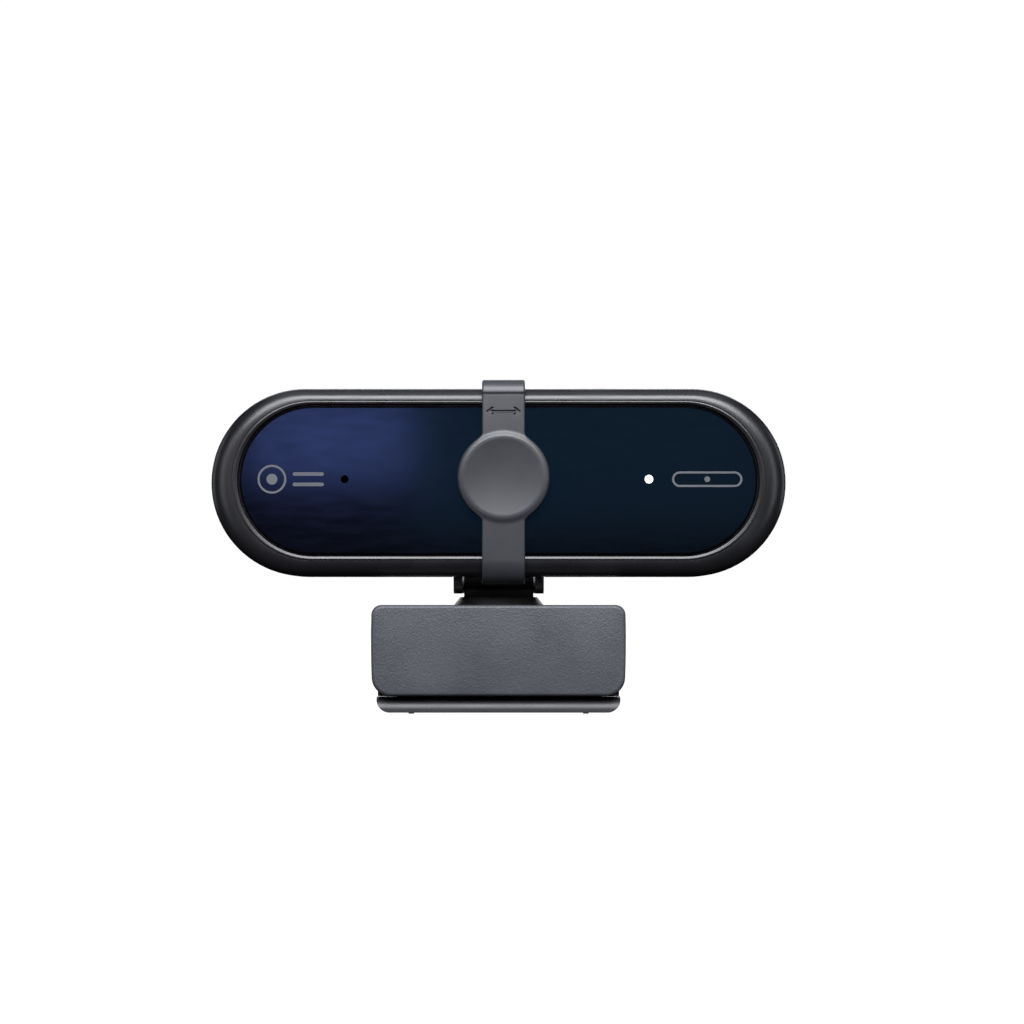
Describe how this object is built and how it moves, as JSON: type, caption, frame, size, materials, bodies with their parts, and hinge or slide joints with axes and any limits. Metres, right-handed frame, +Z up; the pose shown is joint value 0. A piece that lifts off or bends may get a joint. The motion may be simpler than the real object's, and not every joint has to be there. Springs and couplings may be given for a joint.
{
  "type": "webcam with monitor clip",
  "caption": "Pill-shaped webcam with a sliding privacy cover, on a tilting and swivelling neck above a folding monitor clip with a tripod socket.",
  "frame": {"origin": "on the surface that the folded clip stands on, under the middle of the object", "axes": "+X to the right seen from the front, along the head; the lens looks along -Y; +Z is up"},
  "size_m": [0.1, 0.0304, 0.058],
  "materials": {
    "black_plastic": "fine matt texture",
    "satin_black_plastic": "satin",
    "grey_textured_plastic": "fine spark texture",
    "cover_plastic": "fine matt texture",
    "black_rubber": "matt",
    "black_glass": "polished, printed black behind",
    "clear_glass": "polished, coated",
    "lens_plastic": "matt black",
    "screw_steel": "zinc plated",
    "pin_steel": "ground",
    "brass": "turned",
    "circuit_board": "green solder mask",
    "chip": "moulded",
    "header_plastic": "moulded",
    "capacitor_ceramic": "fired",
    "white_lamp": "moulded",
    "light_pipe": "clear moulding"
  },
  "bodies": {
    "clip": {"clip_bridge": "black_plastic", "front_panel": "grey_textured_plastic", "panel_screws": "screw_steel", "jaw_pad": "black_rubber", "bridge_pad": "black_rubber", "leg_hinge_pin": "pin_steel", "hinge_washers": "pin_steel"},
    "leg": {"rear_leg": "black_plastic", "leg_cover": "black_plastic", "leg_cover_screws": "screw_steel", "leg_feet": "black_rubber", "tripod_insert": "brass", "leg_pad": "black_rubber"},
    "turret": {"swivel_turret": "black_plastic", "swivel_friction_washer": "black_rubber", "swivel_washer": "pin_steel", "swivel_screw": "screw_steel"},
    "head": {"front_bezel": "satin_black_plastic", "front_glass": "black_glass", "glass_adhesive": "black_rubber", "rear_shell": "satin_black_plastic", "shell_screws": "screw_steel", "cable_grommet": "black_rubber", "main_pcb": "circuit_board", "pcb_screws": "screw_steel", "image_sensor": "chip", "lens_holder": "lens_plastic", "ir_filter": "clear_glass", "lens_barrel": "lens_plastic", "lens_front_element": "clear_glass", "lens_middle_element": "clear_glass", "lens_rear_element": "clear_glass", "lens_spacer": "lens_plastic", "lens_retaining_ring": "lens_plastic", "isp_chip": "chip", "flash_chip": "chip", "crystal": "pin_steel", "usb_header": "header_plastic", "usb_header_pins": "brass", "pcb_capacitors": "capacitor_ceramic", "microphone": "pin_steel", "mic_boot": "black_rubber", "status_led": "white_lamp", "led_light_pipe": "light_pipe", "tilt_yoke": "satin_black_plastic", "yoke_screws": "screw_steel", "tilt_pin": "pin_steel", "tilt_washers": "pin_steel"},
    "cover": {"privacy_cover": "cover_plastic"}
  },
  "joints": [
    {"name": "leg_fold", "type": "hinge", "parent": "clip", "child": "leg", "pos_m": [0, 0.0116, 0.0149], "axis": [1, 0, 0], "range_deg": [0, 90]},
    {"name": "head_swivel", "type": "hinge", "parent": "clip", "child": "turret", "pos_m": [0, 0, 0.0187], "axis": [0, 0, 1], "continuous": true},
    {"name": "head_tilt", "type": "hinge", "parent": "turret", "child": "head", "pos_m": [0, 0, 0.0248], "axis": [-1, 0, 0], "range_deg": [-15, 30]},
    {"name": "cover_slide", "type": "slide", "parent": "head", "child": "cover", "axis": [1, 0, 0], "range_m": [-0.027, 0.025]}
  ]
}
